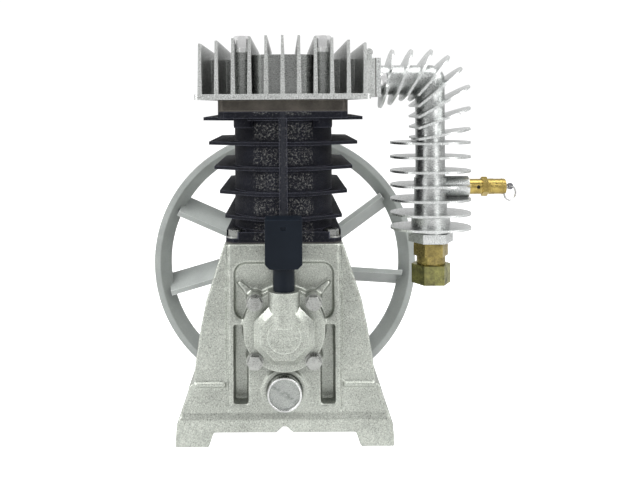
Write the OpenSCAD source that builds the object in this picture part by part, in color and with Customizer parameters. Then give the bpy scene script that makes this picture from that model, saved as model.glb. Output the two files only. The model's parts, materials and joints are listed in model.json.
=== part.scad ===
// Belt-driven air compressor pump with two cylinders in line.
// Frame: the origin is the centre of the four foot holes, on the underside of the feet.
// +X points to the delivery side, +Y back to the flywheel, and +Z up. Sizes are in millimetres.

/* [Crankcase] */
// Width across the feet
base_w = 165; // [150:1:200]
// Depth over the feet
base_d = 200; // [190:1:230]
// Height of the deck that carries the cylinders
deck_h = 150; // [145:1:180]
// Width of the deck
deck_w = 92; // [90:1:110]
// Depth of the deck
deck_d = 176; // [172:1:200]
// Wall thickness of the casting
case_wall = 6; // [4:0.5:8]
// Height of the crankshaft axis above the feet
axis_h = 87; // [82:1:92]
// Height of the arch between the feet
foot_h = 10.8; // [8:0.2:13]
// Width of one foot
foot_w = 29; // [24:1:34]
// Distance from a foot hole to the end of its foot
foot_hole_end = 16; // [12:1:24]
// Tapping radius of a foot hole
foot_hole_r = 4.25; // [3.3:0.05:5]

/* [Cylinders] */
// Bore of a cylinder
bore_d = 65; // [50:1:68]
// Distance between the two cylinder axes
bore_pitch = 85; // [82:1:95]
// Outer diameter of a cylinder barrel
barrel_d = 80; // [76:1:84]
// Height of the cylinder block
block_h = 101; // [92:1:112]
// Depth of the cylinder block over its fins
block_d = 170; // [166:1:176]
// Width of the top flange
flange_w = 101; // [96:1:110]
// Width of the widest fin
fin_w = 128; // [112:1:140]
// Number of cooling fins on the block
fin_count = 5; // [4:1:6]
// Stroke of a piston
stroke = 46; // [36:1:50]
// Height left over a piston's crown at the top of its stroke
crown_gap = 0.8; // [0.4:0.1:3]

/* [Cylinder head] */
// Width of the head's base plate
head_w = 134; // [126:1:140]
// Depth of the head's base plate
head_d = 196; // [188:1:204]
// Height of the head over its middle fin
head_h = 49; // [44:1:56]
// Number of fins on the head
head_fin_count = 11; // [9:2:11]
// Pitch of the head's fins
head_fin_pitch = 12.6; // [12:0.1:13]
// Thickness of a gasket
gasket_t = 0.8; // [0.5:0.1:1.5]
// Thickness of the valve plate
valve_plate_t = 7.8; // [6:0.2:10]

/* [Crank train] */
// Diameter of a crank web
web_d = 76; // [72:1:80]
// Diameter of a crank pin
crank_pin_d = 22; // [18:1:24]
// Width of a rod's big end
big_end_w = 26; // [22:1:27]
// Diameter of a wrist pin
wrist_pin_d = 16; // [12:1:18]
// Height from a wrist pin to the piston's crown
crown_h = 30; // [28:1:32]
// Height of a piston
piston_h = 50; // [46:1:54]
// Radial clearance of a running fit
run_gap = 0.05; // [0.02:0.01:0.08]

/* [Flywheel] */
// Diameter of the flywheel
wheel_d = 280; // [250:1:300]
// Width of the rim
rim_w = 24; // [22:1:30]
// Distance from the crankcase's middle to the rim's front
wheel_y = 139; // [136:1:150]
// Number of fan blades that serve as spokes
blade_count = 9; // [5:1:9]
// Thickness of a fan blade
blade_t = 5; // [4:0.5:7]
// Width of the belt groove at the rim
groove_w = 17; // [13:0.5:17]
// Depth of the belt groove
groove_depth = 12; // [10:0.5:12]
// Diameter of the shaft in the hub
shaft_d = 28; // [22:1:30]

/* [Delivery] */
// Outer diameter of the delivery elbow's pipe
pipe_d = 26; // [24:1:28]
// Bore of the delivery elbow
pipe_bore = 17; // [14:1:18]
// Distance of the falling pipe from the pump's middle
drop_x = 130; // [126:1:140]
// Length of a straight fin across the pipe
elbow_fin_w = 71; // [66:1:76]
// Depth of a fin
elbow_fin_d = 53; // [44:1:56]
// Number of straight fins
straight_fins = 7; // [5:1:7]
// Number of fanned fins round the bend
fan_fins = 8; // [6:1:8]
// Bore of the outlet for the delivery tube
outlet_d = 19.2; // [15:0.1:22.4]

/* [Hidden] */
$fn = 64;
eps = 0.01;
far = 400;

// Screws: the across-flats width of each head follows the thread.
m6_d = 6;
m6_head = 10;
m6_head_t = 4.2;
m6_washer_d = 12.6;
m6_washer_t = 1.2;
m8_d = 8;
m8_head = 12;
m8_head_t = 9.5;
m8_flange_d = 14.4;
m8_flange_t = 3.5;
hex_r = 1 / sqrt(3);            // corner radius of a hexagon for each millimetre across its flats
hex_top_share = 0.96;           // width of a head's flat top, for each millimetre across its flats
hex_slope = 1.8;                // the chamfer's run for each millimetre of height

// Crankcase
mid_f = 0.45;                   // share of the height at which the front boss face stands
front_y = deck_d/2 + (base_d - deck_d)/2 * mid_f + 0.6;   // distance of both boss faces
foot_pitch_x = base_w - foot_w; // the foot holes stand in the middle of the feet
foot_pitch_y = base_d - 2*foot_hole_end;
sump_z = 14;                    // underside of the sump flange
sump_flange_t = 6;
sump_cover_t = 3;
sump_open = [56, 124];          // opening in the sump flange
sump_plate = [84, 156];
sump_bolt_x = 34;
sump_bolt_ys = [-70, 0, 70];
case_in_y = front_y - 15;       // inner face of the end walls
deck_t = 8;
lean = atan((base_d - deck_d)/2 / deck_h);   // slope of the front and rear faces
rail_h = 22;                    // top of the rail round the base
rail_out = 2;
panel_w = 84.6;                 // raised panel on the front face
panel_groove = [2.4, 1.4];      // width and depth of the groove at each side of it
foot_d = 44;                    // depth of one foot
foot_slope = 4;                 // run of the sloped side of an arch
notch_w = [14, 2.4];            // notch in the front rail, at its foot and at its top
notch_h = 4.5;
boss_depth = 12;                // metal behind the front boss face
tap_depth = 14;                 // thread of a cover screw in the case
pocket_w = 76;
pocket_z = [axis_h + 6.5, deck_h - 14];
pocket_r = 8;
pocket_depth = 7;
slot_x = [27.6, 38.5];
slot_z = [31, axis_h + 2.5];
slot_depth = 9;
lug_r = 6.6;                    // boss round a cover bolt
lug_rib = [18, 7.4, 2.6];       // length of the rib behind a lug, and its width at each end
cover_bolt = 22;                // offset of a cover bolt from the axis, both ways
// Half-widths and heights of the side outline, as shares of what the deck and the feet leave.
side_shares = [[0, 1], [0.37, 0.72], [0.45, 0.623], [0.475, 0.598], [0.515, 0.53], [0.59, 0.412],
    [0.63, 0.311], [0.735, 0.292], [0.75, 0.238], [0.865, 0.19], [0.915, 0.145],
    [0.975, 0.112], [1, 0]];
ridge_share = 0.305;
ridge_t = 2.4;
ridge_out = 4.2;                // reach of the ridges past the boss face
ridge_end = 0.6;                // their outer end, as a share of the feet's spread past the deck
function side_x(s) = deck_w/2 + (base_w - deck_w)/2 * s;
side_points = [for (p = side_shares) [side_x(p[0]), deck_h * p[1]]];

// Bearings
front_race = [20, 47, 14];      // bore, outer diameter and width
rear_race = [shaft_d + 2, 62, 16];
front_bearing_y = -front_y + 6;
rear_bearing_y = front_y - 16;
cover_r = 30.5;
cover_t = 7;
cover_spigot = 6;
octagon = 44.7;
octagon_t = 14;
inner_octagon = 35;
nose_r = 12.5;
nose_t = 20;
neck_r = 12;                    // oil filler neck
neck_out = 11;                  // distance of the neck's axis in front of the boss face
neck_top = axis_h + 32;
housing_r = 52;                 // rear bearing housing
housing_t = 8;
housing_spigot_r = 41;
housing_bolt_r = 46.5;
housing_bolts = 6;
seal_r = 21;
seal_t = 8;

// Sight glass
glass_z = axis_h - 46;
glass_boss_r = 16.7;
glass_r = 13;
glass_out = 12;
glass_seat = -front_y + 5;
glass_lip = 1.6;                // width of the bezel's rim round the glass
glass_bore_r = 9;
glass_t = 2;
reflector_y = [-front_y - glass_out + 2.4, -front_y - glass_out + 4];

drain_z = 30;
drain_r = 7;
drain_x = 48;
drain_face = front_y + 1;
drain_len = 9;                  // length of the plug's thread
drain_collar_r = drain_r + 3.5;
drain_collar_t = 2;
drain_hex = 14;
drain_head_t = 6;

// Block, from the deck upwards
block_z = deck_h + gasket_t;
block_top = block_z + block_h;
block_flange_t = 8;
block_corner = 6;
top_flange_t = 5;
plate_corner = 5;
spot_t = 3;                     // metal left under the spot faces
block_bolt_x = 37.5;
block_bolt_y = block_d/2 - 8;
fin_t = 2.6;
fin_step = 19.6;
fin_taper = 8.5;                // each fin is this much narrower than the one above
fin_nose = 24;                  // length of the bevelled nose of a fin
rib_w = 6;
rib_out = 0.8;                  // reach of the rib past the fins
bridge_w = 56;                  // metal between the two barrels
valve_gasket_z = block_top;
valve_plate_z = valve_gasket_z + gasket_t;
head_gasket_z = valve_plate_z + valve_plate_t;
head_z = head_gasket_z + gasket_t;
plate_d = 172;
port_places = [12, 20];         // distance of the valve ports from the middle, and their spread
port_hole_r = 4;
reed_w = 10.4;
reed_t = 0.4;
head_thread = 11;               // depth of a head bolt in the block
thread_end = 1.5;               // metal left under it

// Head
head_plate_t = 4.2;
head_corner = 3;
head_fin_root = 3.4;
head_fin_tip = 2;
head_crown = 7;                 // fall of the outer fins below the middle one
head_bolt_x = 31.5;
head_bolt_y = 75;
boss_r = 6.8;
boss_top = head_z + 37;
chamber_w = 48;
chamber_d = 168;
chamber_top = head_z + 35;
chamber_wall = 5;
chamber_end_t = 7;
chamber_place = 10.5;           // middle of each chamber, from the pump's middle
chamber_in_w = 15;
passage_x = [14, 52];
passage_d = 36;
passage_z = head_z + 17;
block_end_x = 78;               // face that the elbow bolts to
ear_d = 64;
ear_x = head_w/2 - 3;
ear_z = [head_z + 2, head_z + 35];
port_r = 9.3;                   // tapped inlet port
port_x = 1 - head_w/2;

// Elbow
flange_x = block_end_x + gasket_t;
flange_t = 4;
flange_bolt_y = 24.5;
elbow_fin_t = 2;
straight_top = head_z - 39.4;
straight_step = 12.5;
pipe_low = head_z - 119;        // top of the threaded foot
collar_r = 17;
elbow_hex = 34.4;
elbow_foot = head_z - 125.8;    // lower end of the casting
valve_z = head_z - 77.8;        // safety valve axis
valve_boss_r = 9.5;
valve_boss_x = drop_x + 33;
// Fanned fins: their inner ends follow the inside of the bend, and their tips a rounded corner.
fan_first = 77.5;               // slope of the first one
fan_start_x = 88;
fan_step = 9.4;
fan_in_x = drop_x - 14.5;
fan_in_z = passage_z - 13.3;
fan_out_x = drop_x + elbow_fin_w/2;
fan_out_z = passage_z + 27;
fan_corner_r = 39.5;

// Outlet fitting, downwards from the elbow
adapter_hex = 26.6;
adapter_hex_z = [elbow_foot - 12.4, elbow_foot - 1];
adapter_neck_r = 12.6;
adapter_low = elbow_foot - 30;
thread_r = 10.5;
nut_af = 30;
nut_z = [elbow_foot - 36.5, elbow_foot - 19.6];
nut_lip = 4;

// Safety valve
valve_body_x = [valve_boss_x, valve_boss_x + 17];
valve_cap_x = [valve_boss_x + 17, valve_boss_x + 33];
valve_r = 6.8;
valve_hex = 15;
valve_bore_r = 4.6;
stem_r = 1.4;
spring_r = valve_bore_r - 1.4;
spring_wire = 1;
spring_pitch = 2.4;
spring_turns = 7;
spring_start = valve_body_x[0] + 8;
eye_x = valve_boss_x + 37.5;
ring_r = 6.2;
ring_wire_r = 0.75;
ring_turn = 25;

// Breather
breather_w = 27.5;
breather_d = 22;
breather_z = [axis_h + 49.5, axis_h + 86];
breather_y = -front_y - neck_out;
breather_tube_r = 8.1;
breather_bevel = 3.5;

// Crank train along Y: web, pin, web, journal, web, pin, web
bay = big_end_w + 3;            // free width between the webs of one throw
pin_y = bore_pitch/2;
web_in = pin_y - bay/2;
web_out = pin_y + bay/2;
end_web_t = 13;
mid_web_t = 11;
mid_journal_r = 16;
pin_end_gap = 0.3;
throw = stroke/2;
rod_len = block_top - crown_gap - crown_h - throw - axis_h;   // between a rod's two centres
tdc_pin_z = axis_h + throw;
bdc_pin_z = axis_h - throw;
bore_r = bore_d/2;
piston_r = bore_r - run_gap;
ring_gap = 0.02;
ring_h = 2;
ring_depth = 3;
ring_zs = [5, 10, 16];          // below the crown
piston_crown_t = 7;
skirt_t = 5;
skirt_top = 20;                 // depth below the crown down to which a piston is full
wrist_pin_end = 4;              // distance from a wrist pin's end to the bore
bush_t = 2.5;
big_end_r = crank_pin_d/2 + bush_t + 6;
small_end_r = wrist_pin_d/2 + 5;
small_end_w = 22;
shank_t = 12;
shank_w = [26, 16];             // width of a rod's shank at its big end and its small end
shank_pocket = [16, 9];         // width of the pocket in each face of it
shank_pocket_depth = 3.5;
dipper_len = 14;
dipper_r = 4;

// Flywheel
wheel_r = wheel_d/2;
rim_lip = 5.5;
rim_t = 16.5;                   // radial depth of the rim at its middle
hub_r = 24;
hub_y = [front_y + 18, wheel_y + rim_w];
blade_sweep = 15;               // shift of a blade's rear edge
blade_first = -4;
key_w = 8;
key_h = 7;
key_y = [hub_y[0] + 4, hub_y[1] - 8];

// --- Shared shapes ---
module bar_x(x, r, y = 0, z = 0)
    translate([x[0], y, z]) rotate([0, 90, 0]) cylinder(r = r, h = x[1] - x[0]);
module bar_y(y, r, x = 0, z = 0)
    translate([x, y[0], z]) rotate([-90, 0, 0]) cylinder(r = r, h = y[1] - y[0]);
module bar_z(z, r, x = 0, y = 0)
    translate([x, y, z[0]]) cylinder(r = r, h = z[1] - z[0]);
module slab(x, y, z)
    translate([x[0], y[0], z[0]]) cube([x[1] - x[0], y[1] - y[0], z[1] - z[0]]);
// A flat shape in X and Z, given thickness along Y
module upright(y) translate([0, y[1], 0]) rotate([90, 0, 0]) linear_extrude(y[1] - y[0]) children();
module both_sides() { children(); mirror([1, 0, 0]) children(); }
module both_ends() { children(); mirror([0, 1, 0]) children(); }
module cornered(w, d, c) polygon([[c - w/2, -d/2], [w/2 - c, -d/2], [w/2, c - d/2], [w/2, d/2 - c],
    [w/2 - c, d/2], [c - w/2, d/2], [-w/2, d/2 - c], [-w/2, c - d/2]]);
module rounded(w, d, r) {
    square([w - 2*r, d], center = true);
    square([w, d - 2*r], center = true);
    for (x = [-1, 1], y = [-1, 1]) translate([x*(w/2 - r), y*(d/2 - r)]) circle(r);
}
// Hexagon of a width across its flats, with the corners of its far face turned off
module chamfered_hex(across, h) intersection() {
    cylinder(r = across * hex_r, h = h, $fn = 6);
    cylinder(r1 = across * hex_top_share/2 + h * hex_slope, r2 = across * hex_top_share/2, h = h);
}
// Hexagon-headed screw that stands on z = 0, with its shank below
module hex_screw(d, head, head_t, washer_d, washer_t, len) {
    translate([0, 0, washer_t]) chamfered_hex(head, head_t);
    cylinder(d = washer_d, h = washer_t);
    translate([0, 0, -len]) cylinder(d = d, h = len + washer_t);
}
module m6_screw(len) hex_screw(m6_d, m6_head, m6_head_t, m6_washer_d, m6_washer_t, len);

module rotate_about_axis(a) translate([0, 0, axis_h]) rotate([0, -a, 0]) children();

// --- Crankcase ---
module side_outline(inset)
    polygon(concat([for (p = side_points) [p[0] - inset, p[1]]],
        [for (i = [len(side_points) - 1:-1:0]) [inset - side_points[i][0], side_points[i][1]]]));
module end_outline() {
    b = base_d/2;
    d = deck_d/2;
    rail = b - (b - d) * rail_h/deck_h + rail_out;
    low = b + rail_out * 0.32;
    slope_y = b - (b - d) * rail_h/deck_h;
    polygon([[-d, deck_h], [d, deck_h], [slope_y, rail_h + rail_out], [rail, rail_h - 1],
        [low, 0], [-low, 0], [-rail, rail_h - 1], [-slope_y, rail_h + rail_out]]);
}
module case_hull() intersection() {
    upright([-far/2, far/2]) side_outline(0);
    rotate([90, 0, 90]) linear_extrude(far, center = true) end_outline();
}
module case_hollow() intersection() {
    upright([-case_in_y, case_in_y]) side_outline(case_wall);
    slab([-far/2, far/2], [-far/2, far/2], [sump_z + sump_flange_t, deck_h - deck_t]);
}
module arch_outline(low, top) polygon([[-low, -1], [low, -1], [top, foot_h], [-top, foot_h]]);
module foot_arches() {
    arch = base_w/2 - foot_w;
    long_arch = base_d/2 - foot_d;
    upright([-far/2, far/2]) arch_outline(arch + foot_slope, arch);
    rotate([90, 0, 90]) linear_extrude(far, center = true)
        arch_outline(long_arch, long_arch - foot_slope);
    upright([-far/2, -base_d/2 + 10]) polygon([[-notch_w[0]/2, foot_h - 1], [notch_w[0]/2, foot_h - 1],
        [notch_w[1]/2, foot_h + notch_h], [-notch_w[1]/2, foot_h + notch_h]]);
}
module front_relief() {
    floor_y = -front_y + pocket_depth;
    difference() {
        union() {
            upright([-far/2, floor_y]) translate([0, (pocket_z[0] + pocket_z[1])/2])
                rounded(pocket_w, pocket_z[1] - pocket_z[0], pocket_r);
            both_sides() slab(slot_x, [-far/2, -front_y + slot_depth], slot_z);
        }
        bar_y([-far/2, 0], cover_r + 1, z = axis_h);
        both_sides() {
            bar_y([-far/2, 0], lug_r, x = cover_bolt, z = axis_h + cover_bolt);
            bar_y([-far/2, 0], lug_r, x = cover_bolt, z = axis_h - cover_bolt);
            translate([cover_bolt, 0, axis_h + cover_bolt]) rotate([0, -45, 0])
                upright([-far/2, floor_y + 5]) polygon([[0, -lug_rib[1]/2], [lug_rib[0], -lug_rib[2]/2],
                    [lug_rib[0], lug_rib[2]/2], [0, lug_rib[1]/2]]);
        }
    }
}
module panel_grooves() both_sides() translate([0, -deck_d/2, deck_h]) rotate([-lean, 0, 0])
    slab([panel_w/2, panel_w/2 + panel_groove[0]], [-far, panel_groove[1]], [rail_h + 3 - deck_h, far]);
module front_boss() {
    bar_y([-front_y, boss_depth - front_y], cover_r + 1, z = axis_h);
    both_sides() for (z = [-1, 1])
        bar_y([-front_y, boss_depth - front_y], lug_r, x = cover_bolt, z = axis_h + z*cover_bolt);
}
module side_ridges() both_sides() both_ends()
    slab([panel_w/2 + panel_groove[0], side_x(ridge_end)], [-front_y - ridge_out, 0],
        [deck_h*ridge_share - ridge_t/2, deck_h*ridge_share + ridge_t/2]);
module crankcase() color([0.78, 0.79, 0.77]) difference() {
    union() {
        difference() {
            case_hull();
            case_hollow();
            foot_arches();
            slab([-sump_plate[0]/2 - 1, sump_plate[0]/2 + 1],
                [-sump_plate[1]/2 - 1, sump_plate[1]/2 + 1], [-1, sump_z]);
            front_relief();
            panel_grooves();
        }
        intersection() {
            side_ridges();
            upright([-far/2, far/2]) side_outline(-0.6);
        }
        front_boss();
        bar_y([-front_y + 1, -front_y + 22], cover_r, z = axis_h);
        bar_y([front_y - 15, front_y], housing_r, z = axis_h);
        bar_y([-front_y - 4, -front_y + 14], glass_boss_r, z = glass_z);
    }
    slab([-sump_open[0]/2, sump_open[0]/2], [-sump_open[1]/2, sump_open[1]/2],
        [-1, sump_z + sump_flange_t + 1]);
    for (y = [-pin_y, pin_y]) bar_z([deck_h - deck_t - 1, deck_h + 1], bore_r + 2, y = y);
    bar_y([-far/2, -front_y], cover_r + 1, z = axis_h);
    both_sides() for (z = [-1, 1])
        bar_y([-far/2, -front_y], lug_r + 0.8, x = cover_bolt, z = axis_h + z*cover_bolt);
    bar_y([front_y, far/2], housing_r + 1, z = axis_h);
    bar_y([-far/2, front_bearing_y + front_race[2]], front_race[1]/2, z = axis_h);
    bar_y([-far/2, 0], front_race[1]/2 - 4, z = axis_h);
    bar_y([0, far/2], housing_spigot_r, z = axis_h);
    both_sides() for (z = [-1, 1])
        bar_y([-far/2, tap_depth - front_y], m6_d/2, x = cover_bolt, z = axis_h + z*cover_bolt);
    for (i = [0:housing_bolts - 1]) rotate_about_axis(i * 360/housing_bolts + 30)
        bar_y([front_y - 13, far/2], m6_d/2, x = housing_bolt_r, z = 0);
    for (x = [-1, 1], y = sump_bolt_ys)
        bar_z([0, sump_z + sump_flange_t - 1], m6_d/2, x = x*sump_bolt_x, y = y);
    for (x = [-1, 1], y = [-1, 1]) {
        bar_z([-1, 22], foot_hole_r, x = x*foot_pitch_x/2, y = y*foot_pitch_y/2);
        bar_z([deck_h - 14, deck_h + 1], m8_d/2 - 1, x = x*block_bolt_x, y = y*block_bolt_y);
    }
    bar_y([-far/2, -case_in_y + 1], glass_bore_r, z = glass_z);
    bar_y([-far/2, glass_seat], glass_r, z = glass_z);
    bar_y([0, far/2], drain_r, x = drain_x, z = drain_z);
    bar_y([drain_face, far/2], drain_collar_r + 1.5, x = drain_x, z = drain_z);
}

module sump_outline() difference() {
    square(sump_plate, center = true);
    for (x = [-1, 1], y = sump_bolt_ys) translate([x*sump_bolt_x, y]) circle(m6_d/2 + 0.4);
}
module sump_gasket() color([0.35, 0.3, 0.25]) translate([0, 0, sump_z - gasket_t])
    linear_extrude(gasket_t) difference() {
        sump_outline();
        square(sump_open, center = true);
    }
module sump_cover() color([0.74, 0.75, 0.74]) translate([0, 0, sump_z - gasket_t - sump_cover_t])
    linear_extrude(sump_cover_t) sump_outline();
module sump_bolts() color([0.7, 0.7, 0.68]) for (x = [-1, 1], y = sump_bolt_ys)
    translate([x*sump_bolt_x, y, sump_z - gasket_t - sump_cover_t]) rotate([180, 0, 0])
        hex_screw(m6_d, m6_head, m6_head_t - 0.6, m6_washer_d, m6_washer_t, 8);

// --- Front bearing cover, its screws and the oil filler neck ---
module cover_outline(r) {
    circle(r);
    for (x = [-1, 1], z = [-1, 1]) translate([x*cover_bolt, z*cover_bolt]) circle(lug_r);
}
module front_cover_gasket() color([0.3, 0.28, 0.26]) translate([0, -front_y, axis_h])
    rotate([90, 0, 0]) linear_extrude(gasket_t) difference() {
        cover_outline(cover_r);
        circle(front_race[1]/2);
        for (x = [-1, 1], z = [-1, 1]) translate([x*cover_bolt, z*cover_bolt]) circle(m6_d/2);
    }
// Octagonal boss with bevelled front edges
module octagon_boss() intersection_for(i = [0:3]) rotate([90, 0, 45*i])
    linear_extrude(far, center = true) polygon([[-octagon/2, 0], [octagon/2, 0],
        [octagon/2, octagon_t], [inner_octagon/2, nose_t - 1],
        [-inner_octagon/2, nose_t - 1], [-octagon/2, octagon_t]]);
module front_bearing_cover() color([0.8, 0.81, 0.79]) translate([0, -front_y - gasket_t, axis_h])
    rotate([90, 0, 0]) difference() {
        union() {
            linear_extrude(cover_t) cover_outline(cover_r);
            octagon_boss();
            cylinder(r = nose_r, h = nose_t);
            translate([0, 0, -cover_spigot - gasket_t])
                cylinder(r = front_race[1]/2 - run_gap, h = cover_spigot + gasket_t + 1);
            intersection() {
                translate([0, 6, neck_out - gasket_t]) rotate([-90, 0, 0])
                    cylinder(r = neck_r, h = neck_top - axis_h - 6);
                translate([-far/2, -far/2, 0]) cube(far);
            }
            translate([-neck_r, 8, 0]) cube([2*neck_r, neck_top - axis_h - 12, neck_out - gasket_t]);
        }
        translate([0, 12, neck_out - gasket_t]) rotate([-90, 0, 0])
            cylinder(r = breather_tube_r + run_gap, h = far);
        translate([0, 0, -far]) cylinder(r = front_race[1]/2 - 5, h = far + cover_t - 2);
        for (x = [-1, 1], z = [-1, 1]) translate([x*cover_bolt, z*cover_bolt, -1]) {
            cylinder(r = m6_d/2, h = far);
            translate([0, 0, cover_t + 1]) cylinder(r = m6_washer_d/2 + 0.5, h = far);
        }
        translate([0, 18, -1]) cylinder(r = 4, h = neck_out - gasket_t - breather_tube_r + 3);
    }
module front_cover_bolts() color([0.75, 0.74, 0.7]) for (x = [-1, 1], z = [-1, 1])
    translate([x*cover_bolt, -front_y - gasket_t - cover_t, axis_h + z*cover_bolt])
        rotate([90, 0, 0]) m6_screw(cover_t + 12);

// --- Rear bearing housing ---
module rear_bearing_housing() color([0.76, 0.77, 0.75]) difference() {
    union() {
        bar_y([front_y, front_y + housing_t], housing_r, z = axis_h);
        bar_y([rear_bearing_y - 5, front_y + 1], housing_spigot_r - run_gap, z = axis_h);
        bar_y([front_y, front_y + housing_t + 5], seal_r + 8, z = axis_h);
    }
    bar_y([rear_bearing_y, rear_bearing_y + rear_race[2]], rear_race[1]/2, z = axis_h);
    bar_y([0, far], shaft_d/2 + 4, z = axis_h);
    bar_y([front_y + 2, far], seal_r, z = axis_h);
    bar_y([0, rear_bearing_y + 1], rear_race[1]/2 - 3, z = axis_h);
    for (i = [0:housing_bolts - 1]) rotate_about_axis(i * 360/housing_bolts + 30)
        bar_y([0, far], m6_d/2, x = housing_bolt_r);
}
module rear_housing_bolts() color([0.72, 0.71, 0.68])
    for (i = [0:housing_bolts - 1]) rotate_about_axis(i * 360/housing_bolts + 30)
        translate([housing_bolt_r, front_y + housing_t, 0]) rotate([-90, 0, 0])
            m6_screw(housing_t + 12);
module shaft_oil_seal() color([0.12, 0.12, 0.12])
    translate([0, front_y + 2, axis_h]) rotate([-90, 0, 0]) difference() {
        cylinder(r = seal_r, h = seal_t);
        translate([0, 0, -1]) cylinder(r = shaft_d/2 + 1 + run_gap, h = far);
        translate([0, 0, 2]) cylinder(r = seal_r - 3, h = far);
    }

// --- Ball bearings: outer race, inner race and balls ---
function ball_pcr(race) = (race[0] + race[1]) / 4;
function ball_r(race) = (race[1] - race[0]) / 7.2;
function ball_count(race) = floor(PI * ball_pcr(race) / ball_r(race) / 1.15);
module race_profile(race, outer) difference() {
    if (outer) translate([race[1]/2 - (race[1] - race[0])/2 * 0.3, -race[2]/2])
        square([(race[1] - race[0])/2 * 0.3, race[2]]);
    else translate([race[0]/2, -race[2]/2]) square([(race[1] - race[0])/2 * 0.3, race[2]]);
    translate([ball_pcr(race), 0]) circle(ball_r(race) + run_gap);
}
module race_ring(race, y, outer) translate([0, y + race[2]/2, axis_h]) rotate([-90, 0, 0])
    rotate_extrude() race_profile(race, outer);
module race_balls(race, y) for (i = [0:ball_count(race) - 1])
    rotate_about_axis(i * 360/ball_count(race)) translate([ball_pcr(race), y + race[2]/2, 0])
        sphere(ball_r(race), $fn = 32);
module front_bearing_outer() color([0.6, 0.6, 0.62]) race_ring(front_race, front_bearing_y, true);
module front_bearing_inner() color([0.6, 0.6, 0.62]) race_ring(front_race, front_bearing_y, false);
module front_bearing_balls() color([0.8, 0.8, 0.82]) race_balls(front_race, front_bearing_y);
module rear_bearing_outer() color([0.6, 0.6, 0.62]) race_ring(rear_race, rear_bearing_y, true);
module rear_bearing_inner() color([0.6, 0.6, 0.62]) race_ring(rear_race, rear_bearing_y, false);
module rear_bearing_balls() color([0.8, 0.8, 0.82]) race_balls(rear_race, rear_bearing_y);

// --- Sight glass and drain plug ---
module sight_glass_bezel() color([0.8, 0.8, 0.8]) difference() {
    bar_y([-front_y - glass_out, glass_seat], glass_r, z = glass_z);
    bar_y([-far, reflector_y[1]], glass_r - glass_lip, z = glass_z);
    bar_y([-far, far], glass_bore_r, z = glass_z);
}
module sight_glass_reflector() color([0.75, 0.75, 0.73])
    bar_y(reflector_y, glass_r - glass_lip, z = glass_z);
module sight_glass_lens() color([0.85, 0.9, 0.9, 0.4])
    bar_y([reflector_y[0] - glass_t, reflector_y[0]], glass_r - glass_lip, z = glass_z);
module oil_drain_plug() color([0.7, 0.7, 0.68]) {
    bar_y([drain_face - drain_len, drain_face], drain_r, x = drain_x, z = drain_z);
    bar_y([drain_face, drain_face + drain_collar_t], drain_collar_r, x = drain_x, z = drain_z);
    translate([drain_x, drain_face + drain_collar_t, drain_z]) rotate([-90, 0, 0])
        cylinder(r = drain_hex * hex_r, h = drain_head_t, $fn = 6);
}

// --- Cylinder block ---
module barrels(z, r) for (y = [-pin_y, pin_y]) bar_z(z, r, y = y);
module fin_outline(w) {
    d = block_d/2;
    n = w * 0.2;
    polygon([[-w/2, -d + fin_nose], [-n, -d + 3], [0, -d], [n, -d + 3], [w/2, -d + fin_nose],
        [w/2, d - fin_nose], [n, d - 3], [0, d], [-n, d - 3], [-w/2, d - fin_nose]]);
}
function fin_z(i) = block_top - 5.6 - i * fin_step;
module cylinder_block() color([0.09, 0.09, 0.11]) difference() {
    union() {
        barrels([block_z, block_top], barrel_d/2);
        slab([-bridge_w/2, bridge_w/2], [-pin_y, pin_y], [block_z, block_top]);
        translate([0, 0, block_z]) linear_extrude(block_flange_t)
            cornered(deck_w - 2, deck_d - 6, block_corner);
        translate([0, 0, block_top - top_flange_t]) linear_extrude(top_flange_t)
            cornered(flange_w, plate_d, plate_corner);
        for (i = [0:fin_count - 1]) translate([0, 0, fin_z(i) - fin_t/2])
            linear_extrude(fin_t) fin_outline(fin_w - i*fin_taper);
        both_ends() slab([-rib_w/2, rib_w/2], [-block_d/2 - rib_out, -pin_y],
            [block_z + block_flange_t, block_top - top_flange_t]);
        head_bolt_places() bar_z([block_top - head_thread - thread_end, block_top], m8_flange_d/2);
    }
    barrels([0, far], bore_r);
    for (x = [-1, 1], y = [-1, 1]) {
        bar_z([0, block_z + 20], m8_d/2, x = x*block_bolt_x, y = y*block_bolt_y);
        bar_z([block_z + spot_t, fin_z(fin_count - 1) - fin_t/2], m8_flange_d/2 + 1,
            x = x*block_bolt_x, y = y*block_bolt_y);
    }
    head_bolt_places() bar_z([block_top - head_thread, far], m8_d/2);
}
module head_bolt_places() for (x = [-1, 1], y = [-head_bolt_y, 0, head_bolt_y])
    translate([x*head_bolt_x, y, 0]) children();
module base_gasket() color([0.3, 0.28, 0.26]) translate([0, 0, deck_h]) linear_extrude(gasket_t)
    difference() {
        cornered(deck_w - 2, deck_d - 6, block_corner);
        for (y = [-1, 1]) translate([0, y*pin_y]) circle(bore_r + 2);
        for (x = [-1, 1], y = [-1, 1]) translate([x*block_bolt_x, y*block_bolt_y]) circle(m8_d/2);
    }
module block_bolts() color([0.72, 0.7, 0.66]) for (x = [-1, 1], y = [-1, 1])
    translate([x*block_bolt_x, y*block_bolt_y, block_z + spot_t])
        hex_screw(m8_d - 2, 10, 5, 14, 1.2, 16);

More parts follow.
